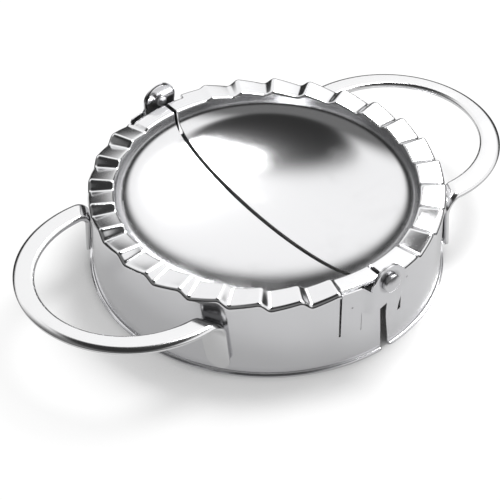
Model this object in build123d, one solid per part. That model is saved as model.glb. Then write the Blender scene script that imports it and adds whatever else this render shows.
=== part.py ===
"""Empanada press: two hinged half rings of stamped stainless steel sheet.

Each half is a bent cutter wall, a stamped sheet with half a bowl and a toothed
crimping flange hemmed over the wall's top edge, and a flat strap handle welded
to the wall. Two rivets through overlapping ears hinge the halves together.

Frame: millimetres, +Z up, origin at the middle of the open press on the table.
The hinge axis runs along Y, the left half lies at -X and the right half at +X.
"""
from build123d import *
from math import ceil, cos, radians, sin, sqrt
import os

# ---- driving dimensions -------------------------------------------------------
rim_radius = 60.0  # outside of the hemmed rim: a 120 mm press
sheet = 0.6  # thickness of every stamped sheet
rim_height = 30.1  # mean height of the flange's top face

# Crimping flange and bowl
flange_width = 9.0
teeth = 13  # teeth in each half
tooth_pitch = 12.66  # degrees
tooth_rise = 2.7  # valley to peak before the tips are rounded
steep_share = 0.23  # part of a pitch taken by the short steep flank
tip_chamfer = 0.38  # degrees, either side of a tooth line's corner
end_flank = 14.9  # where the flat by a hinge meets its first steep flank, degrees
end_flank_width = 1.4  # degrees
bowl_depth = 17.0
bowl_bands = 6  # flat steps that make up the bowl's curve
mouth_drop = 2.0  # upright part of the bowl's side, below the flange
mouth_bend = 0.9
rim_bend = 0.35
hem_depth = 1.7  # how far the flange's edge turns down over the wall

# Cutter wall
wall_taper = 0.5  # the wall's foot stands this much wider than its top
foot_reach = 1.0  # turned-out lip at the table
foot_height = 1.6

# Hinge
fold_gap = 0.5  # between the two flanges when the press is shut
rivet_radius = 1.25
rivet_head_radius = 3.3
rivet_head_height = 2.6
rivet_peen_radius = 2.0
rivet_peen_height = 0.8
ear_step = 1.5  # the inner ear stands this far out from the wall's line
outer_ear_radius = 6.8
outer_ear_drop = 0.8  # the outer ear's round end sits this far below its rivet
inner_ear_radius = 5.8
tongue_far = 15.95  # the left tongue's slit, from the hinge plane
tongue_near = 8.9  # where the left tongue narrows into its arm
arm_flat = 5.9  # where the arm becomes flat
arm_shoulder = 1.2  # the arm's top edge meets the ear this far below the rivet
arm_edge = [(5.3, -6.65), (-1.0, -9.75), (-4.45, -10.4)]  # X, and Z from the rivet
arm_bottom = 19.8
slit_bottom = 12.5
slit_width = 0.65
hairline = 0.2  # width of a cut that only parts two edges
right_slit = 6.9  # the right tongue's slit, from the hinge plane
right_slit_width = 0.9
inner_neck_right = [(6.9, -5.0), (5.5, -2.0)]  # X, and Z from the rivet
inner_neck_left = [(-4.0, -4.0), (0.3, -7.8)]

# Gap between the halves' wall ends, at the table and up at the ears
left_end_low = 0.6
left_end_high = 1.5
right_end_low = 2.3
right_end_high = 0.3
right_corner_radius = 3.0
bowl_end = 0.8  # the bowls' straight edges, from the hinge plane

# Handles
loop_radius = 38.6  # outside of the round strap
strap_width = 6.6  # in the middle of the loop; it widens towards the tabs
strap_thickness = 1.8
strap_top = 24.0
bend_radius = 2.5  # inside of the bend into a tab
tab_width = 7.8
tab_steps = 4  # flat steps that make up a tab's twist
tab_bottom = 3.7
tab_angle = 52.8  # direction of a tab's foot from the hinge axis, degrees

# Clearances
hem_clearance = 0.1
running_clearance = 0.3
pin_clearance = 0.05
weld_clearance = 0.03
lip_clearance = 0.2  # between a cut-back flange and the sheet outside it

# ---- dependent sizes ----------------------------------------------------------
axis_height = rim_height + fold_gap / 2
wall_radius = rim_radius - sheet - hem_clearance
bowl_radius = rim_radius - flange_width
bowl_top = rim_height - mouth_drop
ear_inside = wall_radius - sheet + ear_step
inner_ear_y = ear_inside + sheet
outer_ear_inside = inner_ear_y + running_clearance
outer_ear_y = outer_ear_inside + sheet
flange_end_radius = wall_radius - sheet - lip_clearance
tongue_top = 2 * axis_height - rim_height - running_clearance - hem_clearance
bend_outside = bend_radius + strap_thickness
bend_height = strap_top - bend_outside
strap_end_middle = loop_radius - tab_width / 2
past_end = 4.0  # degrees that a half ring is drawn past the hinge plane before its cut
longest_facet = 7.0  # degrees
reach = rim_radius + 15.0  # beyond the whole ring, for cutting solids
above = rim_height + 12.0
wall_top = rim_height - tooth_rise / 2 - sheet - hem_clearance - lip_clearance


def tooth_corners():
    """Turns in degrees from the front hinge, and heights, of the sharp tooth line's corners.

    Each tooth rises gently and falls steeply; the line is odd about 90 degrees, so
    one half turned over onto the other meshes with it. It is flat by both hinges.
    """
    peak, flank = tooth_rise / 2, steep_share / 2 * tooth_pitch
    end_valley = end_flank + end_flank_width
    corners = [(-past_end, 0.0), (end_flank, 0.0), (end_valley, -peak)]
    for tooth in range(1, teeth - 1):
        middle = 90.0 + (tooth - (teeth - 1) / 2) * tooth_pitch
        corners += [(middle - flank, peak), (middle + flank, -peak)]
    return corners + [(180.0 - end_valley, peak), (180.0 - end_flank, 0.0), (180.0 + past_end, 0.0)]


def tooth_height(turn):
    """Height of the sharp tooth line above its middle."""
    for (start, low), (end, high) in zip(tooth_corners(), tooth_corners()[1:]):
        if turn <= end:
            return low + (high - low) * (turn - start) / (end - start)
    return 0.0


def tooth_turns():
    """Turns in degrees where the sheet has a fold: each tip is a short chamfer."""
    starts = [turn + tip_chamfer for turn, _ in tooth_corners()[:-1]]
    ends = [turn - tip_chamfer for turn, _ in tooth_corners()[1:]]
    turns = []
    for start, end in zip(starts, ends):
        parts = ceil((end - start) / longest_facet)
        turns += [start + (end - start) * part / parts for part in range(parts + 1)]
    return turns


def flute(radius, turn):
    """Height of the flange's top face: the flutes fan out from the middle of the press."""
    return rim_height + tooth_height(turn) * radius / rim_radius


def polygon(*corners):
    """Flat faces, one or none, round the corners that differ from the one before."""
    points = [corner for corner, last in zip(corners, corners[-1:] + corners) if corner != last]
    return [Face(Wire.make_polygon(points, close=True))] if len(points) > 2 else []


def faceted(rings, twisted=False):
    """Solid of flat facets through closed rings of corners; a twisted one needs triangles."""
    faces = polygon(*rings[0]) + polygon(*rings[-1])
    for ring, following in zip(rings, rings[1:]):
        for side in range(len(ring)):
            low, high = (ring[side - 1], ring[side]), (following[side], following[side - 1])
            if twisted:
                faces += polygon(*low, high[0]) + polygon(low[0], *high)
            else:
                faces += polygon(*low, *high)
    return Solid(Shell(faces))


def stamped_sheet(section):
    """Half ring at +X whose closed section, of radius and height, follows the flutes' turns."""
    rings = []
    for turn in tooth_turns():
        across, along = sin(radians(turn)), -cos(radians(turn))
        rings.append([Vector(radius * across, radius * along, z) for radius, z in section(turn)])
    return faceted(rings)


def tube(outer, inner, bottom, top):
    """Upright tube about the middle of the press."""
    ring = Circle(outer) - Circle(inner)
    return extrude(Plane.XY.offset(bottom) * ring, top - bottom)


def block(x_min, x_max, y_min, y_max, z_min, z_max):
    """Box given by its limits."""
    size = (x_max - x_min, y_max - y_min, z_max - z_min)
    middle = ((x_min + x_max) / 2, (y_min + y_max) / 2, (z_min + z_max) / 2)
    return Pos(*middle) * Box(*size)


def side_view(face, y_from, y_to):
    """Prism of a face drawn in X and Z, between two positions in Y."""
    plane = Plane(origin=(0, y_to, 0), x_dir=(1, 0, 0), z_dir=(0, -1, 0))
    return extrude(plane * face, y_to - y_from)


# ---- crimp bowls ----------------------------------------------------------------
def bowl_curve(radius, depth):
    """Points up a quarter ellipse, from the bowl's middle to its mouth."""
    angles = [radians(90.0 * band / bowl_bands) for band in range(bowl_bands + 1)]
    return [(radius * sin(angle), bowl_top - depth * cos(angle)) for angle in angles]


def bowl_section(turn):
    """One sheet from the bowl's middle through mouth and flange to the hem, and back."""
    mouth_out, hem_inside = bowl_radius + sheet, rim_radius - sheet
    bend_start, bend_end = bowl_radius + mouth_bend, rim_radius - rim_bend
    depth = bowl_depth - mouth_drop
    return [
        *bowl_curve(mouth_out, depth + sheet),
        (mouth_out, flute(mouth_out, turn) - sheet),
        (hem_inside, flute(hem_inside, turn) - sheet),
        (hem_inside, flute(hem_inside, turn) - hem_depth),
        (rim_radius, flute(rim_radius, turn) - hem_depth),
        (rim_radius, flute(rim_radius, turn) - rim_bend),
        (bend_end, flute(bend_end, turn)),
        (bend_start, flute(bend_start, turn)),
        (bowl_radius, flute(bowl_radius, turn) - mouth_bend),
        *reversed(bowl_curve(bowl_radius, depth)),
    ]


def hinge_relief(lip_end):
    """Metal cut from a crimp bowl at both hinges: its lip, out to lip_end."""
    lip = tube(reach, flange_end_radius, bowl_top - hem_depth, above)
    return lip & block(-lip_end, lip_end, -reach, reach, 0, above)


def make_crimp_bowls():
    """Both bowls are one stamping, turned half a turn; only their hinge reliefs differ."""
    half = stamped_sheet(bowl_section) & block(bowl_end, reach, -reach, reach, 0, above)
    right = half - hinge_relief(right_slit + right_slit_width)
    left = (half - hinge_relief(tongue_far + slit_width / 2)).rotate(Axis.Z, 180)
    return left, right


# ---- cutter walls -----------------------------------------------------------------
def wall_outside(z):
    """Outer radius of the tapered wall at a height."""
    share = (wall_top - z) / (wall_top - foot_height)
    return wall_radius + wall_taper * min(max(share, 0.0), 1.0)


def wall_section(turn):
    """The wall with its turned-out foot; its top edge lies close under the flutes."""
    foot, inside = wall_outside(foot_height), wall_radius - sheet
    foot_lip = foot + foot_reach
    gap = sheet + hem_clearance
    return [
        (foot_lip, 0), (foot_lip, sheet), (foot, foot_height), (wall_radius, wall_top),
        (wall_radius, flute(wall_radius, turn) - gap), (inside, flute(inside, turn) - gap),
        (inside, wall_top), (foot - sheet, foot_height), (foot - sheet / 2, 0),
    ]


def strip(outer, round_from, round_to, flat_from, flat_to, flat_y, z):
    """Plan of a sheet strip by the front hinge: round, then a slope, then flat.

    The round part has the outer radius outer from X = round_from to round_to, and the
    flat part lies with its outer face at Y = -flat_y from X = flat_from to flat_to.
    """
    inner = outer - sheet

    def on_circle(radius, x):
        return (x, -sqrt(radius * radius - x * x))

    middle = (round_from + round_to) / 2
    outer_arc = ThreePointArc(*[on_circle(outer, x) for x in (round_from, middle, round_to)])
    inner_arc = ThreePointArc(*[on_circle(inner, x) for x in (round_to, middle, round_from)])
    flat = Polyline(
        on_circle(outer, round_to), (flat_from, -flat_y), (flat_to, -flat_y),
        (flat_to, -flat_y + sheet), (flat_from, -flat_y + sheet), on_circle(inner, round_to),
    )
    end = Line(on_circle(inner, round_from), on_circle(outer, round_from))
    return Plane.XY.offset(z) * make_face(outer_arc + flat + inner_arc + end)


def from_rivet(corners):
    """Corners given from the rivet's middle, as points of a side view."""
    return [(x, axis_height + z) for x, z in corners]


def left_tongue():
    """Upright tongue, arm and round outer ear at the front hinge."""
    section = strip(
        wall_outside(slit_bottom), -tongue_far - 1.0, -tongue_near,
        -arm_flat, outer_ear_radius + 1.0, outer_ear_y, slit_bottom,
    )
    sheet_strip = extrude(section, above - slit_bottom)
    tongue = Polyline(
        (-tongue_far, slit_bottom), (-tongue_far, tongue_top), (-tongue_near, tongue_top),
        (-arm_flat, axis_height - arm_shoulder), (0, axis_height), *from_rivet(arm_edge),
        (-tongue_near, arm_bottom), (-tongue_near, slit_bottom), (-tongue_far, slit_bottom),
    )
    outline = make_face(tongue) + Pos(0, axis_height - outer_ear_drop) * Circle(outer_ear_radius)
    return sheet_strip & side_view(outline, -reach, 0)


def right_tongue():
    """Upright tongue and round inner ear at the front hinge."""
    section = strip(
        wall_outside(slit_bottom), right_slit + 1.0, right_slit - 1.0,
        right_slit - 2.5, -inner_ear_radius - 1.0, inner_ear_y, slit_bottom,
    )
    sheet_strip = extrude(section, above - slit_bottom)
    edge_share = slit_bottom / arm_bottom
    edge = right_end_low + (right_end_high - right_end_low) * edge_share
    tongue = Polyline(
        (edge, slit_bottom), (right_slit, slit_bottom), *from_rivet(inner_neck_right),
        (0, axis_height), *from_rivet(inner_neck_left), (right_end_high, arm_bottom),
        (edge, slit_bottom),
    )
    outline = make_face(tongue) + Pos(0, axis_height) * Circle(inner_ear_radius)
    return sheet_strip & side_view(outline, -reach, 0)


def wall_end(low, high, corner):
    """Side view of a wall at +X: its sloping end by the hinge has a round foot corner."""
    face = make_face(
        Polyline((low, 0), (high, arm_bottom), (high, above), (reach, above), (reach, 0), (low, 0))
    )
    foot_corner = face.vertices().sort_by(Axis.Z)[:2].sort_by(Axis.X)[0]
    return fillet(foot_corner, corner)


def both_hinges(wall, tongue):
    """The wall with its tongue at the front hinge and the tongue's mirror image behind."""
    pin_hole = Pos(0, axis_height) * Circle(rivet_radius + pin_clearance)
    return wall + tongue + mirror(tongue, about=Plane.XZ) - side_view(pin_hole, -reach, reach)


def make_left_cutter_wall(half_wall):
    """Left wall with its outer ears."""
    end = wall_end(left_end_low, left_end_high, left_end_low)
    wall = (half_wall & side_view(end, -reach, reach)).rotate(Axis.Z, 180)
    opening = Polyline(
        (-tongue_far - slit_width, slit_bottom), (-tongue_near + hairline, slit_bottom),
        (-tongue_near + hairline, arm_bottom - hairline), (0, arm_bottom - hairline),
        (0, above), (-tongue_far - slit_width, above), (-tongue_far - slit_width, slit_bottom),
    )
    wall -= side_view(make_face(opening), -reach, reach)
    wall = both_hinges(wall, left_tongue())
    peak_side = rim_radius * sin(radians(end_flank)) - running_clearance
    peak_top = tongue_top - tooth_rise / 2
    return wall - block(-tongue_far, -peak_side, 0, reach, peak_top, above)


def make_right_cutter_wall(half_wall):
    """Right wall with its inner ears."""
    end = wall_end(right_end_low, right_end_high, right_corner_radius)
    wall = half_wall & side_view(end, -reach, reach)
    wall -= block(-1, right_slit + right_slit_width, -reach, reach, slit_bottom, above)
    return both_hinges(wall, right_tongue())


# ---- handles ------------------------------------------------------------------------
def make_handle():
    """Right handle: a flat strap round the hand, bent down into two twisted tabs."""
    loop_inside = loop_radius - tab_width
    tab_face = sqrt(wall_outside(bend_height) ** 2 - loop_inside**2) + running_clearance
    loop_centre = tab_face + bend_outside
    ring = Circle(loop_radius) - Ellipse(loop_radius - strap_width, loop_inside)
    half_ring = ring & Pos(loop_radius / 2, 0) * Rectangle(loop_radius, 2 * loop_radius)
    strap_bottom = strap_top - strap_thickness
    handle = Pos(loop_centre, 0, strap_bottom) * extrude(half_ring, strap_thickness)
    end_corner = (loop_centre, -strap_end_middle, strap_bottom + strap_thickness / 2)
    strap_end = Plane(origin=end_corner, x_dir=(0, 1, 0), z_dir=(1, 0, 0))
    bend_line = Axis((loop_centre, 0, bend_height), (0, -1, 0))
    bend = revolve(strap_end * Rectangle(tab_width, strap_thickness), bend_line, 90)

    turn = radians(tab_angle)
    foot_out = wall_outside(tab_bottom)
    buried = strap_thickness / 3  # trimmed off again along the wall
    rings = []
    for share in [step / tab_steps for step in range(tab_steps + 1)]:
        twist = turn + (radians(90.0) - turn) * (1.0 - share) ** 2
        x = loop_centre - bend_outside + share * (foot_out * sin(turn) - loop_centre + bend_outside)
        y = strap_end_middle + share * (foot_out * cos(turn) - strap_end_middle)
        z = bend_height + share * (tab_bottom - bend_height)
        along, outward = Vector(cos(twist), sin(twist)), Vector(sin(twist), -cos(twist))
        middle = Vector(x, -y, z)
        side = along * (tab_width / 2)
        back, front = outward * -buried * share, outward * strap_thickness
        rings.append([middle - side + back, middle + side + back, middle + side + front, middle - side + front])
    tab = faceted(rings, twisted=True)
    end_radius = tab_width / 2
    end_outline = Pos(0, tab_bottom + end_radius) * Circle(end_radius)
    end_outline += Pos(0, tab_bottom + end_radius + above / 2) * Rectangle(4 * tab_width, above)
    outward = Plane(origin=(0, 0, 0), x_dir=(cos(turn), sin(turn), 0), z_dir=(sin(turn), -cos(turn), 0))
    tab &= extrude(outward * end_outline, reach)
    core = Polyline(
        (0, foot_height), (wall_outside(foot_height) + weld_clearance, foot_height),
        (wall_radius + weld_clearance, rim_height), (0, rim_height), (0, foot_height),
    )
    tab -= revolve(Plane.XZ * make_face(core), Axis.Z)
    leg = bend + tab
    return handle + leg + mirror(leg, about=Plane.XZ)


# ---- rivets ---------------------------------------------------------------------------
def make_back_rivet():
    """Rivet with a domed head outside the ears and a small peened end inside."""
    peen_face = ear_inside - running_clearance / 2
    peen_end = peen_face - rivet_peen_height
    dome = [
        (rivet_head_radius * cos(radians(angle)), outer_ear_y + rivet_head_height * sin(radians(angle)))
        for angle in (0.0, 45.0, 90.0)
    ]
    outline = Polyline(
        dome[-1], (0, peen_end), (rivet_peen_radius, peen_end), (rivet_peen_radius, peen_face),
        (rivet_radius, peen_face), (rivet_radius, outer_ear_y), *dome,
    )
    return Pos(0, 0, axis_height) * revolve(make_face(outline), Axis.Y)


# ---- the press --------------------------------------------------------------------------
def make_press():
    """All sub-parts by node name."""
    left_bowl, right_bowl = make_crimp_bowls()
    half_wall = stamped_sheet(wall_section) & block(0, reach, -reach, reach, -1, above)
    handle = make_handle()
    rivet = make_back_rivet()
    return {
        "left_cutter_wall": make_left_cutter_wall(half_wall),
        "right_cutter_wall": make_right_cutter_wall(half_wall),
        "left_crimp_bowl": left_bowl,
        "right_crimp_bowl": right_bowl,
        "left_handle": handle.rotate(Axis.Z, 180),
        "right_handle": handle,
        "front_rivet": mirror(rivet, about=Plane.XZ),
        "back_rivet": rivet,
    }


os.makedirs("parts", exist_ok=True)
for name, solid in make_press().items():
    export_step(solid, f"parts/{name}.step")
    print(name, round(solid.volume), "mm3,", len(solid.faces()), "faces")
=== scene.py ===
# %% [markdown]
# # An empanada press in polished stainless steel
#
# The press is a kitchen tool of two half rings. Each half is a bent wall of thin sheet, a stamped
# sheet with half a bowl and a toothed flange, and a flat strap for a handle. Two rivets join the
# halves, so that one folds over onto the other and crimps the dough between the two flanges.
#
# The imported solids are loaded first. They are the fixed frame: everything below is measured in
# the same metres, round the same origin, so a finer piece can take a solid's place exactly.

import math

import bmesh
import bpy
import numpy as np
from mathutils import Matrix, Vector
from mathutils.geometry import delaunay_2d_cdt


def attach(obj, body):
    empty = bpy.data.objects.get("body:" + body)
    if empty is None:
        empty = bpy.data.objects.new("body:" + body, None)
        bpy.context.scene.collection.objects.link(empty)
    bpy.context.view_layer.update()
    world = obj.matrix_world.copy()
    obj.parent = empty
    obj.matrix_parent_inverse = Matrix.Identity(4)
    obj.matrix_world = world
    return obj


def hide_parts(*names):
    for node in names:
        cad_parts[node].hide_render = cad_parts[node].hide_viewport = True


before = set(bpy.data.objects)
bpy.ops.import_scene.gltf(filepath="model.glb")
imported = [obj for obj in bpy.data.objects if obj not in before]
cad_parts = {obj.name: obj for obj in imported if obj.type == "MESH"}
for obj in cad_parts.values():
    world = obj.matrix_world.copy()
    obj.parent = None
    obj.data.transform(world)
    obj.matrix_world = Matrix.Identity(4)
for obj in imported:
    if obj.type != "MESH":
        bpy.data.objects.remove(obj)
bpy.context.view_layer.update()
print("solids:", sorted(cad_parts))

# %% [markdown]
# ## Sizes
#
# All lengths are written in millimetres, because a sheet of 0.6 is easier to read than one of
# 0.0006, and they become metres in one place, where a mesh is made. The names follow the parts of
# the press. The two halves are the same stamping turned half a turn, so every shape is worked out
# once, for the half at +X, and turned for the other.
#
# The hinge axis is the line that both halves share, so it gets a height of its own. It lies level
# with the flanges: only then does half a turn bring one flange down flat on the other.

# %% Sizes of the press
MM = 0.001
RIM_RADIUS = 60.0
SHEET = 0.6
RIM_HEIGHT = 30.1
FLANGE_WIDTH = 9.0
FLUTE_START = 40.0
TEETH = 13
TOOTH_PITCH = math.radians(12.66)
TOOTH_RISE = 2.7
STEEP_SHARE = 0.23
END_FLANK = (14.9, 16.3)
BOWL_DEPTH = 17.0
MOUTH_DROP = 2.0
MOUTH_BEND = 0.9
RIM_BEND = 1.4
HEM_DEPTH = 1.7
FLAT_END = 57.6
LIP_INSET = 2.0
LIP_START, LIP_RUN = 54.0, 4.5
BOWL_END = 0.8

WALL_RADIUS = 59.3
WALL_TAPER = 0.5
WALL_TOP = 27.85
FOOT_HEIGHT = 1.15
FOOT_BEND = 0.55
FOOT_LIP = 0.5

AXIS_HEIGHT = 30.35
OUTER_EAR_Y = 61.7
INNER_EAR_Y = 60.8
TONGUE_TOP = 30.2
SLIT_BOTTOM = 12.5
RIVET_HOLE = 1.3

BOWL_RADIUS = RIM_RADIUS - FLANGE_WIDTH
BOWL_TOP = RIM_HEIGHT - MOUTH_DROP
print("rim", 2 * RIM_RADIUS, "mm across,", TEETH, "teeth in each half")

# %% [markdown]
# ## From arrays to meshes
#
# A shape here is an array of points, worked out all at once by a formula, and an array that says
# which points make each face. One helper turns both into a mesh. Points that fall together, as at
# the middle of a bowl, are merged, so that seams and poles are closed. Shading is smooth except
# where two faces meet at a clear angle, as at the cut edge of a sheet.

# %% Mesh helper
def make_piece(name, points, faces, body, node, turned=False, crease=38.0, outward=False):
    """A mesh object from points in millimetres; turned means half a turn about the upright axis."""
    points = np.array(points, float) * MM
    if turned:
        points[:, :2] *= -1.0
    mesh = bpy.data.meshes.new(name)
    mesh.from_pydata(points.tolist(), [], [list(face) for face in faces])
    work = bmesh.new()
    work.from_mesh(mesh)
    bmesh.ops.remove_doubles(work, verts=work.verts, dist=2e-7)
    bmesh.ops.dissolve_degenerate(work, edges=work.edges, dist=1e-8)
    if outward:
        bmesh.ops.recalc_face_normals(work, faces=work.faces)
    open_edges = sum(1 for edge in work.edges if len(edge.link_faces) != 2)
    volume = work.calc_volume(signed=True) * 1e9
    work.to_mesh(mesh)
    work.free()
    mesh.shade_smooth()
    mesh.set_sharp_from_angle(angle=math.radians(crease))
    piece = bpy.data.objects.new(name, mesh)
    bpy.context.scene.collection.objects.link(piece)
    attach(piece, body)
    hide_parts(node)
    print(f"{name}: {len(mesh.polygons)} faces, {open_edges} open edges, {volume:.0f} mm3")
    return piece


def grid_faces(rows, columns):
    """Quads of a grid stored row by row, as an array of (row, column, corner) indices."""
    index = np.arange(rows * columns).reshape(rows, columns)
    return np.stack([index[:-1, :-1], index[:-1, 1:], index[1:, 1:], index[1:, :-1]], axis=-1)


def sheet_faces(faces, count):
    """Faces of a sheet with thickness.

    The front uses points 0 to count - 1 and the back the next count points, turned round. An edge
    that belongs to one front face only is an edge of the sheet, and gets a face across it.
    """
    faces = np.asarray(faces)
    starts, ends = faces.ravel(), np.roll(faces, -1, axis=1).ravel()
    forward = starts.astype(np.int64) * count + ends
    backward = ends.astype(np.int64) * count + starts
    border = ~np.isin(forward, backward)
    starts, ends = starts[border], ends[border]
    rim = np.stack([ends, starts, starts + count, ends + count], axis=1)
    back = faces[:, ::-1] + count
    return [*faces.tolist(), *back.tolist(), *rim.tolist()]


def smooth_step(value):
    """0 below 0, 1 above 1, and 3v^2 - 2v^3 between."""
    v = np.clip(value, 0.0, 1.0)
    return v * v * (3.0 - 2.0 * v)


# %% [markdown]
# ## The tooth line
#
# The flange is pressed into slanting waves, like the blade of a saw: each rises gently, then
# falls in a short steep step. The line is odd about the middle of the half ring, which means that
# a hill lies opposite each valley. One half folded over onto the other then meshes with it, and
# that is what crimps the dough. A die can't press a sharp corner, so the line is a moving average
# of the sharp saw.

# %% Tooth line
def saw_corners():
    """Turns and heights of the sharp saw's corners: flat by both hinges, with teeth between."""
    flank = STEEP_SHARE / 2 * TOOTH_PITCH
    start, valley = np.radians(END_FLANK)
    middles = math.pi / 2 + (np.arange(1, TEETH - 1) - (TEETH - 1) / 2) * TOOTH_PITCH
    inner = np.stack([middles - flank, middles + flank], axis=1).ravel()
    turns = np.concatenate([[start, valley], inner, [math.pi - valley, math.pi - start]])
    heights = TOOTH_RISE / 2 * np.array([0.0, -1.0] + [1.0, -1.0] * (TEETH - 2) + [1.0, 0.0])
    return turns, heights


def tooth_height(turn):
    """Mean of the saw line over a window of 1.5 degrees round each turn."""
    window = np.radians(np.linspace(-0.75, 0.75, 9))
    return np.mean([np.interp(turn + shift, *saw_corners()) for shift in window], axis=0)


print("teeth rise", round(float(np.ptp(tooth_height(np.linspace(0, math.pi, 2000)))), 2), "mm")

# %% [markdown]
# ## Crimp bowls
#
# On the real press the half bowl, its upright mouth, the toothed flange and the hem that folds
# down over the wall are one sheet, drawn in a press. A revolved shape can't carry the teeth, so
# the sheet is a grid: one direction runs along a section from the middle of the bowl out to the
# hem, and the other runs round the half ring. The section gives a radius and a height, and the
# tooth line is added to the height in a measure that grows outwards, so that the flutes fan out.
#
# The section is written twice, once for the upper side of the sheet and once for the lower side,
# so the sheet is 0.6 mm thick everywhere, also in its bends.

# %% Section of the bowl sheet
def arc(centre, radius, start, end, count):
    """Points round a centre: radius times cosine and sine of an angle from start to end."""
    angle = np.radians(np.linspace(start, end, count))
    return np.stack([centre[0] + radius * np.cos(angle), centre[1] + radius * np.sin(angle)], axis=1)


def line(start, end, count):
    """Evenly spaced points between two ends, without the ends."""
    share = np.linspace(0.0, 1.0, count + 2)[1:-1, None]
    return (1.0 - share) * np.array(start) + share * np.array(end)


def bowl_section(inset):
    """Radius and height along the sheet; inset is 0 for the upper side and SHEET for the lower."""
    depth = BOWL_DEPTH - MOUTH_DROP + inset
    mouth = BOWL_RADIUS + inset
    start = math.degrees(math.acos(BOWL_END / mouth))
    angle = np.radians(np.linspace(-start, 0.0, 34))
    bowl = np.stack([mouth * np.cos(angle), BOWL_TOP + depth * np.sin(angle)], axis=1)
    bend = MOUTH_BEND - inset
    mouth_round = arc((mouth + bend, RIM_HEIGHT - inset - bend), bend, 180.0, 90.0, 7)
    rim = RIM_BEND - inset
    rim_round = arc((RIM_RADIUS - RIM_BEND, RIM_HEIGHT - RIM_BEND), rim, 90.0, 0.0, 9)
    hem_end = (RIM_RADIUS - inset, RIM_HEIGHT - HEM_DEPTH)
    return np.concatenate([
        bowl,
        line(bowl[-1], mouth_round[0], 2),
        mouth_round,
        line(mouth_round[-1], (FLAT_END, RIM_HEIGHT - inset), 8), [(FLAT_END, RIM_HEIGHT - inset)],
        rim_round,
        line(rim_round[-1], hem_end, 1), [hem_end],
    ])


section_upper, section_lower = bowl_section(0.0), bowl_section(SHEET)
print("section of", len(section_upper), "points")

# %% [markdown]
# The section is now carried round the half ring. A plain revolve would end in a wedge at the
# middle of the press, so the first and the last column are moved onto the straight edge where the
# two halves meet. By the hinges the rim is drawn in a little, to let the ears of the wall pass it.

# %% Crimp bowls
def flute_share(radius):
    """How much of the tooth line a point carries: it grows evenly, up to all of it at the rim."""
    return np.clip((radius - FLUTE_START) / (RIM_RADIUS - FLUTE_START), 0.0, 1.0)


def bowl_surface(section, columns, relief):
    """Grid of points: the section is carried from one straight edge of the half bowl to the other.

    At share u of the way the turn is t0 + u (pi - 2 t0), where t0 = asin(edge / radius), so the
    first and last columns lie in the plane of the straight edge. Nearer to the hinges than relief
    the rim is drawn in, so that the wall's tongues and ears stand clear of it.
    """
    radius, height = section[:, :1], section[:, 1:]
    first = np.arcsin(np.clip(BOWL_END / radius, 0.0, 1.0))
    turn = first + columns[None, :] * (math.pi - 2.0 * first)
    upright = np.clip((height - BOWL_TOP) / (RIM_HEIGHT - MOUTH_BEND - BOWL_TOP), 0.0, 1.0)
    on_flange = np.where(radius > BOWL_RADIUS + SHEET + 0.1, 1.0, smooth_step(upright))
    lift = flute_share(radius) * on_flange * tooth_height(turn)
    near_hinge = smooth_step((relief + 0.2 - RIM_RADIUS * np.sin(turn)) / 0.4)
    drawn_in = radius - LIP_INSET * near_hinge * smooth_step((radius - LIP_START) / LIP_RUN)
    x, y = drawn_in * np.sin(turn), -drawn_in * np.cos(turn)
    return np.stack([x, y, height + lift], axis=-1)


def make_bowl(name, body, relief, turned):
    """The stamped sheet; relief is how far from the hinge plane its rim is cut away, in mm."""
    columns = np.linspace(0.0, 1.0, 601)
    upper = bowl_surface(section_upper, columns, relief)
    lower = bowl_surface(section_lower, columns, relief)
    rows = len(section_upper)
    cells = grid_faces(rows, len(columns))
    faces = sheet_faces(cells.reshape(-1, 4)[:, ::-1], rows * len(columns))
    points = np.concatenate([upper.reshape(-1, 3), lower.reshape(-1, 3)])
    return make_piece(name, points, faces, body, name, turned)


left_bowl = make_bowl("left_crimp_bowl", "left_half", 16.3, True)
right_bowl = make_bowl("right_crimp_bowl", "right_half", 7.8, False)

# %% [markdown]
# ## Cutter walls
#
# Each wall starts as a flat blank: a strip with slits, tongues and round ears cut into it. It is
# then rolled into a half ring, its foot is turned out, and the tongues are set so that one pair of
# ears fits over the other. Cutting slits into a finished round wall would leave ragged edges, so
# the mesh is made in the factory's order: first the outline is drawn flat, then it is filled, and
# then a formula rolls every point of the blank to its place on the press.
#
# The slits have a purpose on the real wall. They free the tongues, which can then be set out or in
# as flat ears, while the rest of the wall stays round.

# %% Outline of the blank
HINGE_RADIUS = WALL_RADIUS + WALL_TAPER * (WALL_TOP - SLIT_BOTTOM) / (WALL_TOP - FOOT_HEIGHT)
BLANK_FOOT = FOOT_HEIGHT - FOOT_BEND * math.pi / 2 - FOOT_LIP
OUTER_EAR_RADIUS, OUTER_EAR_DROP = 6.79, 0.8
INNER_EAR_RADIUS = 5.8


def rounded(corners):
    """An open line through corners (x, height, radius), each replaced by an arc of that radius.

    The arc is a quadratic curve that leaves the corner's two sides where a circle would.
    """
    corners = np.array(corners, float)
    line_points = [corners[0, :2]]
    for before, corner, after in zip(corners[:-2], corners[1:-1], corners[2:]):
        here, size = corner[:2], corner[2]
        back, ahead = before[:2] - here, after[:2] - here
        back_length, ahead_length = np.linalg.norm(back), np.linalg.norm(ahead)
        cosine = float(back @ ahead) / (back_length * ahead_length)
        reach = size * math.sqrt((1 + cosine) / (1 - cosine)) if size else 0.0
        reach = min(reach, 0.48 * back_length, 0.48 * ahead_length)
        start, end = here + back / back_length * reach, here + ahead / ahead_length * reach
        share = np.linspace(0.0, 1.0, 7 if size else 1)[:, None]
        curve = (1 - share) ** 2 * start + 2 * share * (1 - share) * here + share**2 * end
        line_points.extend(curve)
    line_points.append(corners[-1, :2])
    return np.array(line_points)


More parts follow.
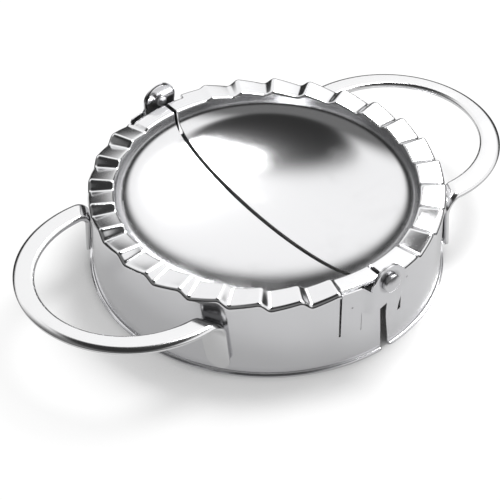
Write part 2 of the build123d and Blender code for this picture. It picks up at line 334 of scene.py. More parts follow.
def hinge_outlines():
    """Outlines (x, height) by a hinge: the outer at the front and behind, and the inner.

    The outer tongue has a low corner behind, where a tooth of the other half comes down on it.
    """
    foot = rounded([
        (1.2, BLANK_FOOT, 0), (0.62, BLANK_FOOT, 0.6), (0.9, 8.0, 0), (1.5, 19.6, 0.6),
        (8.7, 19.6, 0.15), (8.7, SLIT_BOTTOM, 0), (8.9, SLIT_BOTTOM, 0), (8.9, 19.8, 0.2),
        (4.45, 20.3, 8.0), (1.0, 21.6, 6.0), (-5.3, 24.6, 2.2), (-6.1, 26.55, 0),
    ])
    ear = arc((0.0, AXIS_HEIGHT - OUTER_EAR_DROP), OUTER_EAR_RADIUS, 205.0, -3.0, 44)
    slit = [(15.95, SLIT_BOTTOM, 0), (16.6, SLIT_BOTTOM, 0), (16.6, 20.0, 0)]
    front = rounded([(6.78, 29.0, 0), (8.9, TONGUE_TOP, 1.2), (15.95, TONGUE_TOP, 0.5), *slit])
    behind = rounded([
        (6.78, 29.0, 0), (8.9, TONGUE_TOP, 1.2), (14.3, TONGUE_TOP, 0.8), (15.1, 28.8, 0.5),
        (15.95, 28.8, 0.3), *slit,
    ])
    inner = np.concatenate([
        rounded([
            (6.4, BLANK_FOOT, 0), (2.8, BLANK_FOOT, 2.4), (0.5, 19.8, 2.0), (0.3, 22.5, 1.5),
            (-4.0, 26.3, 0),
        ]),
        arc((0.0, AXIS_HEIGHT), INNER_EAR_RADIUS, 220.0, -20.0, 44),
        rounded([
            (5.6, 28.2, 0), (6.6, 25.35, 2.0), (6.6, SLIT_BOTTOM, 0), (8.0, SLIT_BOTTOM, 0),
            (8.0, 20.0, 0),
        ]),
    ])
    return np.concatenate([foot, ear, front]), np.concatenate([foot, ear, behind]), inner


outer_hinge, outer_behind, inner_hinge = hinge_outlines()
print("hinge outlines of", len(outer_hinge), "and", len(inner_hinge), "points")

# %% [markdown]
# A flat shape with slits and holes is filled best by a Delaunay triangulation, which Blender has
# in its mathutils library. It takes the borders as fixed lines. Loose points on an even grid go in
# with them, because long thin triangles from border to border would bend badly when the blank is
# rolled. Grid points that lie too near a border are left out for the same reason.

# %% Borders of the blank
def blank_outline(hinge, behind):
    """Closed outline in turn and height: hinge, top edge, the other hinge mirrored, and foot."""
    front, back = (np.stack([np.arcsin(x / HINGE_RADIUS), z], axis=1) for x, z in (hinge.T, behind.T))
    top_turns = np.linspace(front[-1, 0], math.pi - back[-1, 0], 500)
    share = flute_share(WALL_RADIUS)
    top = np.stack([top_turns, RIM_HEIGHT - SHEET - 0.15 + share * tooth_height(top_turns)], axis=1)
    back = back[::-1] * (-1.0, 1.0) + (math.pi, 0.0)
    return np.concatenate([front[:-1], top, back[1:]])


def divided(outline, step):
    """The outline with extra points, so that no side is longer than step."""
    sides = np.roll(outline, -1, axis=0) - outline
    counts = np.maximum(1, np.ceil(np.linalg.norm(sides, axis=1) / step)).astype(int)
    side = np.repeat(np.arange(len(outline)), counts)
    share = (np.arange(counts.sum()) - np.repeat(np.cumsum(counts) - counts, counts)) / counts[side]
    return outline[side] + share[:, None] * sides[side]


def rivet_holes():
    """A circle of 32 points round the hinge axis at each end of the blank."""
    angle = np.linspace(0, 2 * math.pi, 32, endpoint=False)
    circle = np.stack([RIVET_HOLE * np.cos(angle), AXIS_HEIGHT + RIVET_HOLE * np.sin(angle)], axis=1)
    return [circle + (centre, 0.0) for centre in (0.0, math.pi * HINGE_RADIUS)]


print("the blank is", round(math.pi * HINGE_RADIUS), "mm long between the hinge axes")

# %% Fill the blank with triangles
BORDER_STEP, GRID_STEP, BORDER_GAP = 0.8, 0.9, 0.35
PAST_HINGE = 8.0


def inside(points, outline):
    """Which points an outline holds: a ray to the right crosses it an odd number of times."""
    start, end = outline, np.roll(outline, -1, axis=0)
    x, y = points[:, :1], points[:, 1:]
    crosses = (start[:, 1] > y) != (end[:, 1] > y)
    rise = np.where(end[:, 1] == start[:, 1], 1.0, end[:, 1] - start[:, 1])
    at = start[:, 0] + (y - start[:, 1]) * (end[:, 0] - start[:, 0]) / rise
    return (crosses & (x < at)).sum(axis=1) % 2 == 1


def clear_of(points, outline, gap):
    """Which points stay at least gap away from an outline's closely spaced points."""
    far = np.ones(len(points), bool)
    for part in np.array_split(outline, 12):
        far &= np.min(np.linalg.norm(points[:, None] - part[None], axis=2), axis=1) > gap
    return far


def loose_points(outline, holes):
    """Grid points inside the outline and outside the holes; the rows lie closer in the foot."""
    rows = np.concatenate([
        np.linspace(BLANK_FOOT, FOOT_HEIGHT, 11)[1:],
        np.arange(FOOT_HEIGHT + 0.75, 38.0, GRID_STEP),
    ])
    across = np.arange(-PAST_HINGE, math.pi * HINGE_RADIUS + PAST_HINGE, GRID_STEP)
    grid = np.stack(np.meshgrid(across, rows), axis=-1).reshape(-1, 2)
    grid = grid[inside(grid, outline)]
    grid = grid[clear_of(grid, np.concatenate([outline, *holes]), BORDER_GAP)]
    for hole in holes:
        grid = grid[~inside(grid, hole)]
    return grid


def filled_blank(hinge, behind):
    """Points and triangles of the blank, in millimetres round the wall and up it."""
    outline = divided(blank_outline(hinge, behind) * (HINGE_RADIUS, 1.0), BORDER_STEP)
    holes = rivet_holes()
    points = np.concatenate([outline, *holes, loose_points(outline, holes)])
    loops, first = [], 0
    for loop in (outline, *holes):
        index = first + np.arange(len(loop))
        loops.append(np.stack([index, np.roll(index, -1)], axis=1))
        first += len(loop)
    corners, edges = [Vector(point) for point in points], np.concatenate(loops).tolist()
    found = delaunay_2d_cdt(corners, edges, [], 0, 1e-6)
    points, faces = np.array([tuple(point) for point in found[0]]), np.array(found[2])
    middle = points[faces].mean(axis=1)
    keep = inside(middle, outline)
    for hole in holes:
        keep &= ~inside(middle, hole)
    return points, faces[keep]


# The left half is turned, so the end that is named first comes to lie behind.
outer_blank = filled_blank(outer_behind, outer_hinge)
inner_blank = filled_blank(inner_hinge, inner_hinge)
print("blanks of", len(outer_blank[1]), "and", len(inner_blank[1]), "triangles")

# %% [markdown]
# Rolling is a formula for every point of the blank, and it is used twice: once for the outside of
# the sheet and once for the inside, 0.6 mm further in. Faces across the cut edge then close the
# sheet. A cut edge on real sheet is never quite sharp, and a thin light line on it is what tells
# the eye how thick the metal is, so a Bevel modifier rounds those edges by a sixth of a millimetre.

# %% Roll the blank
TONGUE_NEAR, TONGUE_END = 8.9, 16.2
HAIRLINE_X, HAIRLINE_Z = 8.8, 19.7
INNER_TONGUE_END = 7.3
ARM_BLEND, NECK_BLEND = 3.0, 11.0


def rolled(points, inset, ears):
    """Points of the blank on the press; inset is 0 for the outside and SHEET for the inside.

    Above the foot the radius falls a little with height. In the foot the sheet follows a quarter
    circle outwards and ends in a short level lip. A tongue leaves the round wall and runs into a
    flat ear: its distance from the middle is (1 - f) times the wall's and f times the ear's.
    """
    turn, height = points[:, 0] / HINGE_RADIUS, points[:, 1]
    behind = turn > math.pi / 2
    turn = np.where(behind, math.pi - turn, turn)
    share = np.clip((WALL_TOP - height) / (WALL_TOP - FOOT_HEIGHT), 0.0, 1.0)
    lip = np.maximum(BLANK_FOOT + FOOT_LIP - height, 0.0)
    bend = np.clip((height - BLANK_FOOT - FOOT_LIP) / FOOT_BEND, 0.0, math.pi / 2)
    radius = WALL_RADIUS + WALL_TAPER * share + FOOT_BEND + lip - (FOOT_BEND + inset) * np.sin(bend)
    level = np.maximum(height, FOOT_HEIGHT) - (FOOT_BEND + inset) * np.cos(bend)
    x, depth = radius * np.sin(turn), radius * np.cos(turn)

    flat_x = HINGE_RADIUS * np.sin(turn)
    if ears == "outer":
        above_cut = (flat_x > HAIRLINE_X) | (height > HAIRLINE_Z)
        tongue = (height > SLIT_BOTTOM) & (flat_x < TONGUE_END) & above_cut
        flatness = smooth_step((TONGUE_NEAR - flat_x) / ARM_BLEND)
        plate = OUTER_EAR_Y - inset
    else:
        tongue = (height > SLIT_BOTTOM) & (flat_x < INNER_TONGUE_END)
        flatness = smooth_step((height - SLIT_BOTTOM) / NECK_BLEND)
        plate = INNER_EAR_Y - inset
    round_depth = np.sqrt(np.maximum((HINGE_RADIUS - inset) ** 2 - flat_x**2, 0.0))
    tongue_depth = (1.0 - flatness) * round_depth + flatness * plate
    x, depth = np.where(tongue, flat_x, x), np.where(tongue, tongue_depth, depth)
    return np.stack([x, np.where(behind, depth, -depth), level], axis=1)


def make_wall(name, body, blank, ears, turned):
    """The blank's outside and inside, rolled, with the cut edge between them."""
    points, faces = blank
    both = np.concatenate([rolled(points, 0.0, ears), rolled(points, SHEET, ears)])
    wall = make_piece(name, both, sheet_faces(faces, len(points)), body, name, turned)
    rounding = wall.modifiers.new("edge_rounding", "BEVEL")
    rounding.width, rounding.segments = 0.16 * MM, 2
    rounding.limit_method, rounding.angle_limit = "ANGLE", math.radians(55.0)
    return wall


left_wall = make_wall("left_cutter_wall", "left_half", outer_blank, "outer", True)
right_wall = make_wall("right_cutter_wall", "right_half", inner_blank, "inner", False)

# %% [markdown]
# ## Handles
#
# A handle is one flat strap. It runs in a half circle round the fingers, is bent down at both
# ends, and its two tabs lie on the round wall, where they are spot-welded. The wall curves away
# under the strap's outer edge, so that edge runs on further and bends in a wider arc than the inner
# edge. A curve with a bevel profile can't do that, because it bends both edges alike. The leg is
# therefore drawn by its two edges: at every step a straight line joins them, and a section is set
# on that line, so that the strap keeps its thickness in the bend. A tab is flat and the wall round,
# so the tab touches it along one side and stands a little off it at the other.

# %% Handle path
STRAP_WIDTH, STRAP_THICKNESS, STRAP_TOP = 6.6, 1.8, 24.0
LOOP_RADIUS = 38.6
INNER_BEND, OUTER_BEND = 3.4, 5.6
TAB_WIDTH, TAB_BOTTOM = 7.8, 3.7
TAB_TURN, TAB_LEAN = math.radians(52.8), math.radians(6.0)
INNER_GAP, OUTER_GAP = 0.29, 0.95
strap_height = STRAP_TOP - STRAP_THICKNESS / 2
loop_inside = LOOP_RADIUS - TAB_WIDTH


def wall_outside(height):
    """Outer radius of the tapered wall."""
    share = (WALL_TOP - height) / (WALL_TOP - FOOT_HEIGHT)
    return WALL_RADIUS + WALL_TAPER * min(max(share, 0.0), 1.0)


def beside_wall(sideways, gap):
    """The x at which the middle of the strap stands beside the wall, at a distance y sideways."""
    wall_x = math.sqrt(wall_outside(strap_height - INNER_BEND) ** 2 - sideways**2)
    return wall_x + STRAP_THICKNESS / 2 + gap


inner_x, outer_x = beside_wall(loop_inside, INNER_GAP), beside_wall(LOOP_RADIUS, OUTER_GAP)
loop_centre = inner_x + INNER_BEND
behind_start = (loop_centre - outer_x - OUTER_BEND) / 2


def edge_points(sideways, x, bend, foot):
    """One edge of the leg: (1 - s) foot + s top, then a quarter circle over to the loop."""
    top = np.array([x, -sideways, strap_height - bend])
    share = foot_share[:, None]
    angle = np.radians(np.linspace(180.0, 90.0, 19)[1:, None])
    arc_points = top + bend * np.concatenate([1.0 + np.cos(angle), 0.0 * angle, np.sin(angle)], axis=1)
    return np.concatenate([(1.0 - share) * foot + share * top, arc_points])


print("loop starts", round(loop_centre, 2), "mm from the hinge plane, outer edge at", round(outer_x, 2))

# %% Handle edges
end_part = TAB_WIDTH / 2 / (strap_height - INNER_BEND - TAB_BOTTOM)
end_steps = end_part * (1.0 - np.cos(np.linspace(0.0, math.pi / 2, 16)))
foot_share = np.concatenate([end_steps, np.linspace(end_part, 1.0, 22)[1:]])
outward = np.array([math.sin(TAB_TURN), -math.cos(TAB_TURN), 0.0])
sideways = np.array([-math.cos(TAB_TURN + TAB_LEAN), -math.sin(TAB_TURN + TAB_LEAN), 0.0]) * TAB_WIDTH / 2
stand_off = STRAP_THICKNESS / 2 + math.sin(TAB_LEAN) * TAB_WIDTH / 2
foot_middle = outward * (wall_outside(TAB_BOTTOM) + stand_off) + (0.0, 0.0, TAB_BOTTOM)
inner_edge = edge_points(loop_inside, inner_x, INNER_BEND, foot_middle - sideways)
outer_edge = edge_points(LOOP_RADIUS, outer_x, OUTER_BEND, foot_middle + sideways)
print("each leg has", len(inner_edge), "steps")

# %% [markdown]
# The whole strap is now a row of frames: a middle point, a direction across the strap, one through
# it, and half its width. The legs bring theirs from the two edges. In the loop the outside is a
# circle and the inside half an ellipse, because the strap is widest at the tabs and narrowest in
# the middle of the grip. Near the tab's end the half width shrinks in a quarter circle, which
# rounds the end.

# %% Handle frames
def handle_frames():
    """Centre, across, through and half width: a leg, the loop's half circle, the leg mirrored.

    In the loop the inner edge is half an ellipse, so the strap is widest at its ends. The lines
    across it start slanted, as the bend is, and turn square to the strap along the first part.
    """
    leg_centre, leg_across = (inner_edge + outer_edge) / 2, outer_edge - inner_edge
    leg_half = np.linalg.norm(leg_across, axis=1) / 2
    rounded_end = np.minimum(foot_share / end_part, 1.0)
    leg_half[: len(foot_share)] *= np.sqrt(1.0 - (1.0 - rounded_end) ** 2)

    angle = np.radians(np.linspace(-90.0, 90.0, 121)[1:-1])
    slanted = 1.0 - smooth_step((math.pi / 2 - np.abs(angle)) / math.radians(30.0))
    slanted = slanted * -np.sign(angle)
    ring = np.stack([np.cos(angle), np.sin(angle), 0 * angle], axis=1)
    ahead = np.stack([-np.sin(angle), np.cos(angle), 0 * angle], axis=1)
    inside = 1.0 / np.hypot(np.cos(angle) / (LOOP_RADIUS - STRAP_WIDTH), np.sin(angle) / loop_inside)
    width = (LOOP_RADIUS - inside)[:, None]
    shift = (slanted * behind_start)[:, None]
    loop = (LOOP_RADIUS - width / 2) * ring - shift * ahead + (loop_centre, 0.0, strap_height)
    loop_across = width * ring - 2.0 * shift * ahead
    flip = np.array([1.0, -1.0, 1.0])
    centre = np.concatenate([leg_centre, loop, (leg_centre * flip)[::-1]])
    across = np.concatenate([leg_across, loop_across, (leg_across * flip)[::-1]])
    half = np.concatenate([leg_half, np.linalg.norm(loop_across, axis=1) / 2, leg_half[::-1]])
    across /= np.linalg.norm(across, axis=1, keepdims=True)
    through = np.cross(across, np.gradient(centre, axis=0))
    through /= np.linalg.norm(through, axis=1, keepdims=True)
    return centre, across, through, half


frames = handle_frames()
print(len(frames[0]), "frames; strap", STRAP_WIDTH, "mm wide in the grip and", TAB_WIDTH, "at the tabs")

# %% [markdown]
# The edges of a strap that is held in the hand are tumbled until they don't cut. That rounding is
# most of what a viewer sees of a polished strap, because the flat top mirrors one even patch of
# sky, and only the falling edge shows a dark line. So the section isn't a rounded rectangle: its
# top falls away in a shallow parabola before it turns down.

# %% Handles
OUTER_MARGIN, OUTER_SLOPE = 2.0, 0.8
INNER_MARGIN, INNER_SLOPE = 1.1, 0.9
NARROW_HALF = 2.4


def strap_edge(margin, slope, corner=0.4, under=0.3):
    """One edge of the section: distance in from the edge, and height, from below to the top.

    A small arc leads from the underside to the upright side. A second arc leads on to a parabola,
    height = top - slope v^2 / (2 margin), that falls from the flat top over the margin's width.
    """
    half = STRAP_THICKNESS / 2
    below = np.radians(np.linspace(-90.0, 0.0, 6))
    above = np.linspace(0.0, math.pi / 2 - math.atan(slope), 7)
    fall = slope * margin / 2
    start = half - fall - corner * math.sin(above[-1])
    v = np.linspace(1.0, 0.0, 9)[1:] * margin
    arcs_in = [under * (1.0 - np.cos(below)), corner * (1.0 - np.cos(above))]
    arcs_up = [under - half + under * np.sin(below), start + corner * np.sin(above)]
    inset = np.concatenate([*arcs_in, arcs_in[1][-1] + margin - v])
    return inset, np.concatenate([*arcs_up, half - slope * v**2 / (2.0 * margin)])


def strap_profile(half_width):
    """Across and through for every frame; the edges of narrow sections are squeezed to fit."""
    outer_inset, outer_height = strap_edge(OUTER_MARGIN, OUTER_SLOPE)
    inner_inset, inner_height = strap_edge(INNER_MARGIN, INNER_SLOPE)
    squeeze = np.minimum(half_width / NARROW_HALF, 1.0)[:, None]
    outer = half_width[:, None] - squeeze * outer_inset
    inner = squeeze * inner_inset - half_width[:, None]
    wide = np.concatenate([outer, inner[:, ::-1]], axis=1)
    return wide, np.broadcast_to(np.concatenate([outer_height, inner_height[::-1]]), wide.shape)


def make_handle(name, body, turned):
    """Profile carried along the path: centre + across times width + through times thickness."""
    centre, across, through, half = frames
    wide, thick = strap_profile(np.maximum(half, 0.03))
    points = centre[:, None] + wide[..., None] * across[:, None] + thick[..., None] * through[:, None]
    steps, sides = wide.shape
    index = np.arange(steps * sides).reshape(steps, sides)
    ahead = np.roll(index, -1, axis=1)
    faces = np.stack([index[:-1], ahead[:-1], ahead[1:], index[1:]], axis=-1).reshape(-1, 4).tolist()
    faces += [index[0].tolist(), index[-1, ::-1].tolist()]
    points = points.reshape(-1, 3)
    return make_piece(name, points, faces, body, name, turned, outward=True)


left_handle = make_handle("left_handle", "left_half", True)
right_handle = make_handle("right_handle", "right_half", False)

# %% [markdown]
# ## Rivets
#
# Each rivet has a broad head with a shallow crown outside the ears, and a small end inside, spread
# with a punch so that it can't come out. The ears turn on the shaft between them, and that is the
# whole hinge. A rivet is a turned part, so its profile is carried round the hinge axis. A squashed
# sphere would be quicker, but its crown would be too round, and in a mirror the difference shows.

# %% Rivets
HEAD_HEIGHT, CROWN_RADIUS = 2.45, 6.36
HEAD_CORNER, CORNER_ANGLE = 0.75, 63.0
SHAFT_RADIUS = 1.25
PEEN_FACE, PEEN_RADIUS, PEEN_ROUND = 60.05, 2.0, 0.4


def rivet_profile():
    """Radius and distance from the middle of the press, from the head's crown to the end.

    The crown is a shallow cap of a large circle; a small arc leads on to the head's upright side.
    """
    outside, inside_face, peen = OUTER_EAR_Y, PEEN_FACE, PEEN_RADIUS
    crown = arc((0.0, outside + HEAD_HEIGHT - CROWN_RADIUS), CROWN_RADIUS, 90.0, CORNER_ANGLE, 12)
    corner = arc((2.55, outside + 1.09), HEAD_CORNER, CORNER_ANGLE, 0.0, 14)
    side = np.array([(3.28, 0.6), (3.15, 0.12), (3.0, 0.0), (2.5, 0.0)]) + (0.0, outside)
    shaft = np.array([(SHAFT_RADIUS, outside), (SHAFT_RADIUS, inside_face)])
    spread = np.array([(peen - 0.1, 0.0), (peen, -0.1), (peen, -0.4)]) + (0.0, inside_face)
    angle = np.radians(np.linspace(0.0, 90.0, 9))
    end = np.stack([peen - PEEN_ROUND * (1.0 - np.cos(angle)), -0.4 - 0.38 * np.sin(angle)], axis=1)
    tip = [(0.0, inside_face - 0.8)]
    return np.concatenate([crown, corner, side, shaft, spread, end + (0.0, inside_face), tip])


def make_rivet(name, side):
    """x = r cos a, z = axis height + r sin a, and y the distance on that side of the press."""
    profile = rivet_profile()
    angle = np.linspace(0.0, 2.0 * math.pi, 97)[:-1]
    radius, out = profile[:, :1], profile[:, 1:] * np.ones_like(angle)
    x, z = radius * np.cos(angle), AXIS_HEIGHT + radius * np.sin(angle)
    points = np.stack([x, side * out, z], axis=-1)
    index = np.arange(points.shape[0] * points.shape[1]).reshape(points.shape[:2])
    ahead = np.roll(index, -1, axis=1)
    faces = np.stack([index[:-1], ahead[:-1], ahead[1:], index[1:]], axis=-1).reshape(-1, 4)
    return make_piece(name, points.reshape(-1, 3), faces, "left_half", name, outward=True)


front_rivet = make_rivet("front_rivet", -1.0)
back_rivet = make_rivet("back_rivet", 1.0)

# %% [markdown]
# ## Shader maths as Python
#
# A finish such as fine polishing lines is a sum of a few patterns. Wiring that by hand takes a
# node for every plus and times. A small class wraps a socket, so that an expression such as
# `0.2 + 0.1 * lines` adds its Math nodes by itself, and one method adds any other node.

# %% Node helper
class Signal:
    """A node's output socket that can be added, multiplied and so on with numbers and others."""

    def __init__(self, maker, socket):
        self.maker, self.socket = maker, socket

    def math(self, operation, *others):
        values = {index: other for index, other in enumerate((self, *others))}
        return self.maker.node("ShaderNodeMath", {"operation": operation}, values)

    def __add__(self, other):
        return self.math("ADD", other)

    def __radd__(self, other):
        return self.math("ADD", other)

    def __sub__(self, other):
        return self.math("SUBTRACT", other)

    def __rsub__(self, other):
        return self.maker.node("ShaderNodeMath", {"operation": "SUBTRACT"}, {0: other, 1: self})

    def __mul__(self, other):
        return self.math("MULTIPLY", other)

    def __rmul__(self, other):
        return self.math("MULTIPLY", other)

    def __pow__(self, other):
        return self.math("POWER", other)

    def between(self, low, high):
        """0 at low, 1 at high, and smooth and clamped between them."""
        settings = {"interpolation_type": "SMOOTHSTEP"}
        values = {"Value": self, "From Min": low, "From Max": high}
        return self.maker.node("ShaderNodeMapRange", settings, values)


class Maker:
    """Adds nodes to one tree."""

    def __init__(self, tree):
        self.tree = tree
        tree.nodes.clear()

    def node(self, kind, settings=None, values=None, output=0):
        """A node of a type: its settings first, then a value or a link for each named socket."""
        made = self.tree.nodes.new(kind)
        for key, value in (settings or {}).items():
            setattr(made, key, value)
        for key, value in (values or {}).items():
            if isinstance(value, Signal):
                self.tree.links.new(value.socket, made.inputs[key])
            else:
                made.inputs[key].default_value = value
        return Signal(self, made.outputs[output]) if len(made.outputs) else made

    def output(self, signal, socket):
        """The socket of that name on the node that a signal comes from."""
        return Signal(self, signal.socket.node.outputs[socket])

    def noise(self, place, scale, **values):
        """Noise from 0 to 1 round about 0.5; scale is in patches to the metre."""
        named = {key.capitalize(): value for key, value in values.items()}
        return self.node("ShaderNodeTexNoise", {}, {"Vector": place, "Scale": scale, **named})

    def distance(self, place, point):
        """Distance in metres from a point, or from the object's origin."""
        settings = {"operation": "DISTANCE"}
        return self.node("ShaderNodeVectorMath", settings, {0: place, 1: point}, output=1)


print("node helper ready")

# %% [markdown]
# ## Polished steel
#
# Stainless steel is a grey metal that mirrors its surroundings. What tells a real sheet from a
# perfect mirror is its polishing: very fine lines that run round the wall, because the wheel ran
# that way, a slow unevenness from rolling and pressing, and a few smudges that blur the mirror a
# little. So the base colour stays almost even, the roughness changes, and a faint bump carries the
# lines and the waviness. The patterns read object coordinates, so they stay on the metal.
#
# Lines that run round the press need coordinates that do so too. For walls and bowls the turn is
# therefore worked out from x and y, and takes the place of x. On the handles the noise is stretched
# along the strap instead.

# %% Marks on the steel
def round_the_press(make, x, y, z):
    """Coordinates of the rolled sheet: turn (0.06 m to the radian), radius and height."""
    turn = make.node("ShaderNodeMath", {"operation": "ARCTAN2"}, {0: x, 1: y})
    radius = (x * x + y * y) ** 0.5
    along = make.node("ShaderNodeCombineXYZ", {}, {"X": turn * 0.06, "Y": radius, "Z": z})
    return along, radius


def painted_shade_round_rivets(make, x, z, radius):
    """Painted shade on the ear round the rivet's head: 1 next to the head and 0 a millimetre off."""
    across = make.node("ShaderNodeCombineXYZ", {}, {"X": x, "Y": 0.0, "Z": z - AXIS_HEIGHT * MM})
    from_rivet = make.distance(across, (0.0, 0.0, 0.0))
    on_ear = radius.between(0.0609, 0.0612)
    return (1.0 - from_rivet.between(0.0033, 0.0047)) * on_ear


def tool_mark(make, place, middle):
    """1 in the middle of a small pit that the press tool left, and 0 half a millimetre away."""
    return 1.0 - make.distance(place, middle).between(0.00015, 0.00055)


print("marks ready")

# %% Steel finish
def steel(name, grey, roughness, lines, waviness, stretch=(1.0, 1.0, 1.0), polar=False, marks=()):
    """A steel with its mean grey and roughness, and how strong its lines and waviness are."""
    material = bpy.data.materials.new(name)
    material.use_nodes = True
    make = Maker(material.node_tree)
    place = make.output(make.node("ShaderNodeTexCoord"), "Object")
    axes = make.node("ShaderNodeSeparateXYZ", {}, {"Vector": place})
    x, y, z = make.output(axes, "X"), make.output(axes, "Y"), make.output(axes, "Z")
    along, radius = round_the_press(make, x, y, z) if polar else (place, None)
    stretched = make.node("ShaderNodeMapping", {}, {"Vector": along, "Scale": stretch})
    hair = make.noise(stretched, 3800.0, detail=3.0, roughness=0.6)
    smear = make.noise(place, 55.0, detail=4.0, roughness=0.55)
    cloud = make.noise(place, 26.0, detail=1.0)
    speck = make.noise(place, 900.0, detail=2.0)

    smudge = smear.between(0.5, 0.72)
    rough = roughness + 0.10 * roughness * (hair - 0.5) * 4.0 + 0.35 * roughness * smudge
    shade = 1.0 + 0.05 * (hair - 0.5) + 0.03 * (cloud - 0.5) - 0.03 * smudge
    height = lines * (hair - 0.5) + waviness * (cloud - 0.5) + 0.1 * lines * (speck - 0.5)
    # The ear round each rivet head is darkened by a painted shade.
    if polar:
        shade = shade - 0.35 * painted_shade_round_rivets(make, x, z, radius)
    for middle in marks:
        dot = tool_mark(make, place, middle)
        shade = shade - 0.55 * dot
        height = height - 8.0 * dot
        rough = rough + 0.15 * dot

    # Shade runs from 0.5 to 1.5 times the mean grey, so 0.5 is taken off for the Mix node's factor.
    color = make.node("ShaderNodeMix", {"data_type": "RGBA"}, {"Factor": shade - 0.5}, output=2)
    for socket, times in ((6, 0.5), (7, 1.5)):
        color.socket.node.inputs[socket].default_value = (*(times * part for part in grey), 1.0)
    bump = make.node("ShaderNodeBump", {}, {"Height": height, "Strength": 1.0, "Distance": 1e-6})
    finish = {"Base Color": color, "Metallic": 1.0, "Roughness": rough, "Normal": bump}
    skin = make.node("ShaderNodeBsdfPrincipled", {}, finish)
    make.node("ShaderNodeOutputMaterial", {}, {"Surface": skin})
    print("steel:", name)
    return material


# %% [markdown]
# One recipe serves all four finishes. The strap and the bowls are the most finely polished. The
# wall has clearer polishing lines, and the press tool left a small pit in it on either side of the
# front hinge. The rivets were hammered and not polished again, so they are the dullest.

# %% Finishes of the pieces
pits = ((0.01052, -0.05843, 0.0243), (-0.01229, -0.05831, 0.0236))
wall_steel = steel("wall_steel", (0.72, 0.72, 0.735), 0.16, 1.2, 6.0, polar=True, marks=pits)
bowl_steel = steel("bowl_steel", (0.76, 0.76, 0.77), 0.15, 1.0, 5.0, polar=True)
strap_steel = steel("strap_steel", (0.78, 0.78, 0.785), 0.14, 0.8, 5.0, stretch=(0.05, 1.0, 1.0))
rivet_steel = steel("rivet_steel", (0.72, 0.72, 0.735), 0.3, 0.6, 2.0)

for wall in (left_wall, right_wall):
    wall.data.materials.append(wall_steel)
for bowl in (left_bowl, right_bowl):
    bowl.data.materials.append(bowl_steel)
for handle in (left_handle, right_handle):
    handle.data.materials.append(strap_steel)
for rivet in (front_rivet, back_rivet):
    rivet.data.materials.append(rivet_steel)

# %% [markdown]
# ## Table, camera and light
#
# Polished metal shows what stands round it, so a studio for it is mostly a choice of what is
# bright and what is dark. A pale table in front of the upright walls makes them pale, and the sky
# above makes the level faces white. A table that went on to the horizon would be mirrored
# everywhere, and the metal would lose its edges, so for mirrored rays it grows dark 14 to 24 cm out.
#
# To the eye the table is almost white. A camera ray sees part of its own soft shadow and part of
# plain white, more of it farther out. In narrow places under the press hardly any light arrives,
# and an Ambient Occlusion node finds them at any pose.

# %% Table
TABLE_RADIUS = 3.0
TABLE_DROP = 0.00002
WHITE = (1.0, 1.0, 1.0, 1.0)


def table_finish():
    """Matt grey under three glows, mixed by the kind of ray and by the distance from the press."""
    material = bpy.data.materials.new("pale_table")
    material.use_nodes = True
    make = Maker(material.node_tree)
    path = make.node("ShaderNodeLightPath")
    seen, mirrored = make.output(path, "Is Camera Ray"), make.output(path, "Is Glossy Ray")
    place = make.output(make.node("ShaderNodeTexCoord"), "Object")
    from_middle = make.distance(place, (0.0, 0.0, 0.0))
    ambient = {"samples": 8}
    open_above = make.node("ShaderNodeAmbientOcclusion", ambient, {"Distance": 0.03}, output=1)
    covered = 1.0 - open_above.between(0.12, 0.45)
    open_table, away = from_middle.between(0.058, 0.064), from_middle.between(0.064, 0.095)
    beyond = from_middle.between(0.14, 0.24)
    matt = make.node("ShaderNodeBsdfDiffuse", {}, {"Color": (0.84, 0.84, 0.84, 1.0)})
    white, pale, dark = (
        make.node("ShaderNodeEmission", {}, {"Color": WHITE, "Strength": strength})
        for strength in (1.0, 0.57, 0.03)
    )

    def mixed(share, first, second):
        return make.node("ShaderNodeMixShader", {}, {"Fac": share, 1: first, 2: second})

    shown = mixed(seen * open_table * (0.3 + 0.5 * away), matt, white)
    near = mixed(mirrored * open_table * 0.7, shown, pale)
    # Camera rays see the covered places under the press as a painted shade, a near-black glow.
    both = mixed(mirrored * beyond + seen * covered * 0.9, near, dark)
    make.node("ShaderNodeOutputMaterial", {}, {"Surface": both})
    return material


def make_table():
    """A disc of 128 corners just below the press's foot."""
    mesh = bpy.data.meshes.new("table_top")
    angle = np.linspace(0.0, 2.0 * math.pi, 129)[:-1]
    x, y = TABLE_RADIUS * np.cos(angle), TABLE_RADIUS * np.sin(angle)
    points = np.stack([x, y, 0.0 * angle - TABLE_DROP], axis=1)
    mesh.from_pydata(points.tolist(), [], [list(range(len(points)))])
    table = bpy.data.objects.new("table_top", mesh)
    bpy.context.scene.collection.objects.link(table)
    table.data.materials.append(table_finish())


make_table()
print("table", 2 * TABLE_RADIUS, "m across")

# %% [markdown]
# The camera stands 0.6 m away, in front of the press and to its left, and looks down at about 41
# degrees. Its long lens keeps the far handle nearly as large as the near one. Its axes are built
# from two angles and a small roll, so that they are exact and no Track To constraint is needed.

# %% Camera
AIM_ELEVATION, AIM_TURN = math.radians(41.39), math.radians(-38.96)
CAMERA_DISTANCE = 0.613
FOCAL_PIXELS, FRAME_PIXELS = 1773.5, 500.0
SHIFT_PIXELS = (-16.7, 2.2)
SENSOR_WIDTH = 36.0
ROLL = math.radians(0.38)


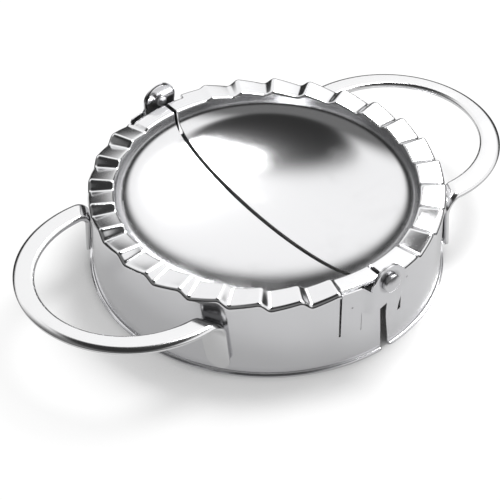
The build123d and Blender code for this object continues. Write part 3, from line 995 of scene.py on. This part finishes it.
def make_camera():
    """Axes: back points from the press to the camera, right is level and then rolled a little."""
    cos_e, sin_e = math.cos(AIM_ELEVATION), math.sin(AIM_ELEVATION)
    back = Vector((math.sin(AIM_TURN) * cos_e, -math.cos(AIM_TURN) * cos_e, sin_e))
    level = Vector((math.cos(AIM_TURN), math.sin(AIM_TURN), 0.0))
    up = back.cross(level)
    right = math.cos(ROLL) * level + math.sin(ROLL) * up
    up = -math.sin(ROLL) * level + math.cos(ROLL) * up
    data = bpy.data.cameras.new("camera")
    data.sensor_fit = "HORIZONTAL"
    data.sensor_width = SENSOR_WIDTH
    data.lens = FOCAL_PIXELS / FRAME_PIXELS * SENSOR_WIDTH
    data.shift_x, data.shift_y = (pixels / FRAME_PIXELS for pixels in SHIFT_PIXELS)
    data.clip_start, data.clip_end = 0.01, 20.0
    camera = bpy.data.objects.new("camera", data)
    turned = Matrix((right, up, back)).transposed().to_4x4()
    turned.translation = back * CAMERA_DISTANCE
    camera.matrix_world = turned
    bpy.context.scene.collection.objects.link(camera)
    bpy.context.scene.camera = camera
    print("camera", round(CAMERA_DISTANCE, 3), "m away, lens", round(data.lens, 1), "mm")


make_camera()

# %% [markdown]
# The light is plain: an even pale world, and one soft lamp high up on the right, which gives the
# press its faint shadow. Only mirrored rays see more of the world than that. To them the sky is a
# white ring between about 20 and 55 degrees up. It is dark at the horizon and overhead, so that
# every bend in the sheet is drawn by a dark line. It is dim on the viewer's side and to the left of
# it, so that the flutes there show a bright and a dark flank each.

# %% Light
DIM_TURN = math.radians(28.0)
RING_FOOT, RING_TOP = (0.22, 0.40), (0.80, 0.90)
RING_GLOW, DARK_GLOW, DIMMED = 1.12, 0.03, 0.86
EVEN_GLOW = 0.62


def make_surroundings():
    """World: white to the eye, an even glow for matt things, and a ring of sky for the metal.

    A direction's z is the sine of how far up it points. The ring's share is smooth in z, and its
    glow falls with the direction's dot product with the dim side.
    """
    world = bpy.data.worlds.new("studio")
    bpy.context.scene.world = world
    world.use_nodes = True
    make = Maker(world.node_tree)
    direction = make.output(make.node("ShaderNodeTexCoord"), "Generated")
    dim_turn = AIM_TURN - DIM_TURN
    dim_side = (math.sin(dim_turn), -math.cos(dim_turn), 0.0)
    dot_product = {"operation": "DOT_PRODUCT"}
    towards = make.node("ShaderNodeVectorMath", dot_product, {0: direction, 1: dim_side}, output=1)
    height = make.output(make.node("ShaderNodeSeparateXYZ", {}, {"Vector": direction}), "Z")
    ring = height.between(*RING_FOOT) * (1.0 - height.between(*RING_TOP))
    sky = DARK_GLOW + RING_GLOW * ring * (1.0 - DIMMED * towards.between(-0.05, 0.4))
    path = make.node("ShaderNodeLightPath")
    seen, mirrored = make.output(path, "Is Camera Ray"), make.output(path, "Is Glossy Ray")
    other = EVEN_GLOW * (1.0 - mirrored) + sky * mirrored
    strength = seen + (1.0 - seen) * other
    ground = make.node("ShaderNodeBackground", {}, {"Color": WHITE, "Strength": strength})
    make.node("ShaderNodeOutputWorld", {}, {"Surface": ground})


def soft_light(name, place, size, power):
    """A square lamp that faces the press."""
    data = bpy.data.lights.new(name, "AREA")
    data.shape, data.size, data.energy = "SQUARE", size, power
    lamp = bpy.data.objects.new(name, data)
    lamp.location = place
    lamp.rotation_euler = (-Vector(place)).to_track_quat("-Z", "Y").to_euler()
    bpy.context.scene.collection.objects.link(lamp)
    print(name, "of", power, "W,", round(Vector(place).length, 2), "m away")


make_surroundings()
soft_light("key_light", (0.72, 0.2, 1.12), 0.6, 20.0)

# %% [markdown]
# ## Finish
#
# The picture is shown in plain sRGB, so that a colour comes out as it was written.

# %% Colour view
bpy.context.scene.view_settings.view_transform = "Standard"
